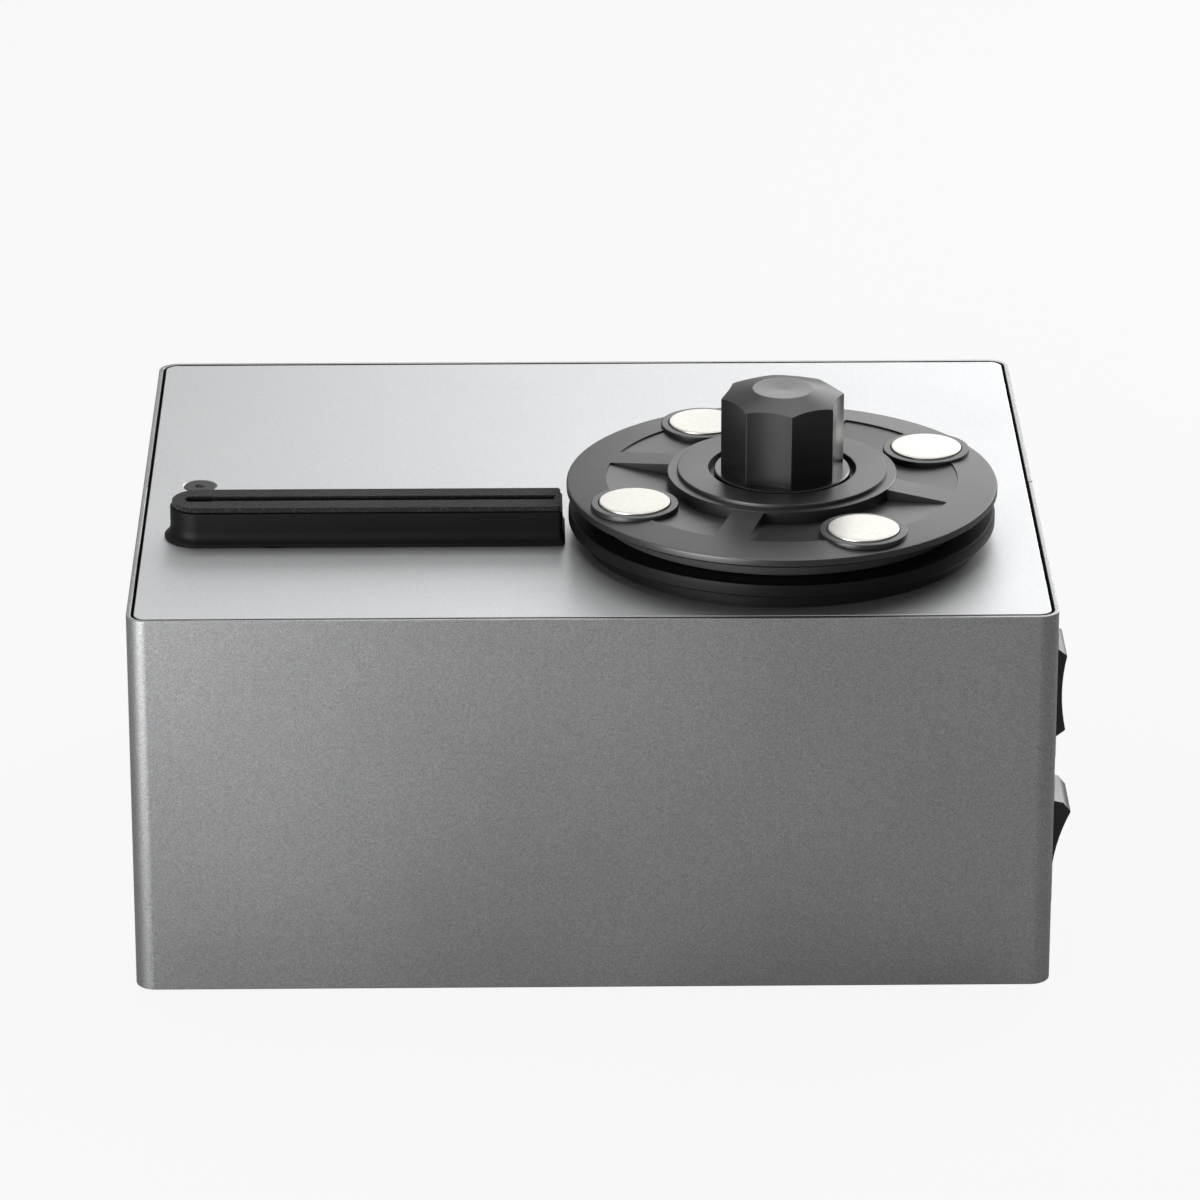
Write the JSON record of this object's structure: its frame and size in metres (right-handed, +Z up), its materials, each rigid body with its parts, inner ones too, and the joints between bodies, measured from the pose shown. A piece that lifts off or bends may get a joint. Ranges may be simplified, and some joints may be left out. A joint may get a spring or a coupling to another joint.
{
  "type": "record cleaning machine",
  "caption": "Compact vacuum record cleaning machine: aluminium box with a small platter, screw-down record clamp, slotted velvet suction arm and side rocker switches.",
  "frame": {"origin": "centre of the bounding box's footprint, on the surface that the feet stand on", "axes": "+X to the right along the front wall, +Y to the back, +Z up"},
  "size_m": [0.236, 0.184, 0.1431],
  "materials": {
    "satin_aluminium": "fine grained satin",
    "deck_aluminium": "pale satin",
    "black_plastic": "satin",
    "clamp_plastic": "satin moulded",
    "knob_plastic": "polished moulded",
    "switch_plastic": "semi-gloss moulded",
    "black_velvet": "short pile",
    "black_rubber": "matte",
    "nickel": "plated satin",
    "stainless_steel": "fine turned",
    "black_steel": "black oxide",
    "zinc_steel": "zinc plated",
    "brass": "turned",
    "tank_plastic": "milky moulded",
    "white_plastic": "moulded",
    "board_green": "lacquered board",
    "lead_black": "smooth insulation"
  },
  "bodies": {
    "housing": {"front_shell": "satin_aluminium", "rear_shell": "satin_aluminium", "top_plate": "deck_aluminium", "base_plate": "zinc_steel", "left_joint_bracket": "zinc_steel", "right_joint_bracket": "zinc_steel", "front_rail": "zinc_steel", "rear_rail": "zinc_steel", "top_screw_left": "black_steel", "top_screw_right": "stainless_steel", "base_screw_left": "zinc_steel", "base_screw_right": "zinc_steel", "foot_front_left": "black_rubber", "foot_rear_left": "black_rubber", "foot_front_right": "black_rubber", "foot_rear_right": "black_rubber", "platter_collar": "black_plastic", "upper_bearing": "stainless_steel", "lower_bearing": "stainless_steel", "motor_mount": "zinc_steel", "gear_motor": "zinc_steel", "arm_port": "black_plastic", "waste_tank": "tank_plastic", "tank_lid": "tank_plastic", "suction_hose": "black_rubber", "drain_fitting": "black_plastic", "fan_motor": "zinc_steel", "fan_mount_ring": "black_rubber", "fan_housing": "black_plastic", "fan_cover": "black_plastic", "direction_switch_body": "switch_plastic", "vacuum_switch_body": "switch_plastic", "power_inlet": "black_plastic", "power_board": "board_green", "inlet_lead": "lead_black", "switch_loom": "lead_black", "motor_loom": "lead_black"},
    "platter_drive": {"spindle": "stainless_steel", "platter": "clamp_plastic", "platter_seal": "black_rubber", "shaft_coupling": "brass", "motor_shaft": "stainless_steel"},
    "clamp": {"clamp_plate": "clamp_plastic", "clamp_seal": "black_rubber", "clamp_magnet_1": "nickel", "clamp_magnet_2": "nickel", "clamp_magnet_3": "nickel", "clamp_magnet_4": "nickel"},
    "knob": {"clamp_knob": "knob_plastic", "knob_insert": "brass", "knob_clip": "stainless_steel"},
    "arm": {"suction_arm": "black_plastic", "velvet_strip_front": "black_velvet", "velvet_strip_rear": "black_velvet", "arm_seal": "black_rubber"},
    "direction_lever": {"direction_rocker": "switch_plastic"},
    "vacuum_lever": {"vacuum_rocker": "switch_plastic"},
    "fan_rotor": {"impeller": "white_plastic"},
    "drain": {"drain_plug": "black_plastic"},
    "fuse": {"fuse_drawer": "black_plastic"}
  },
  "joints": [
    {"name": "platter_spin", "type": "hinge", "parent": "housing", "child": "platter_drive", "pos_m": [0.04548, -0.0348, 0.108], "axis": [0, 0, 1], "continuous": true},
    {"name": "clamp_lift", "type": "slide", "parent": "platter_drive", "child": "clamp", "axis": [0, 0, 1], "range_m": [0, 0.06]},
    {"name": "knob_turn", "type": "hinge", "parent": "clamp", "child": "knob", "pos_m": [0.04548, -0.0348, 0.12], "axis": [0, 0, 1], "continuous": true},
    {"name": "arm_lift", "type": "slide", "parent": "housing", "child": "arm", "axis": [0, 0, 1], "range_m": [0, 0.03]},
    {"name": "direction_switch", "type": "hinge", "parent": "housing", "child": "direction_lever", "pos_m": [0.10398, -0.0608, 0.074], "axis": [0, 1, 0], "range_deg": [-13.5, 13.5]},
    {"name": "vacuum_switch", "type": "hinge", "parent": "housing", "child": "vacuum_lever", "pos_m": [0.10398, -0.0608, 0.0344], "axis": [0, 1, 0], "range_deg": [-27, 0]},
    {"name": "fan_spin", "type": "hinge", "parent": "housing", "child": "fan_rotor", "pos_m": [0.02698, 0.04, 0.0584], "axis": [0, 0, 1], "continuous": true},
    {"name": "drain_plug_out", "type": "slide", "parent": "housing", "child": "drain", "axis": [0, 1, 0], "range_m": [0, 0.02]},
    {"name": "fuse_drawer_out", "type": "slide", "parent": "housing", "child": "fuse", "axis": [0, 1, 0], "range_m": [0, 0.015]}
  ]
}
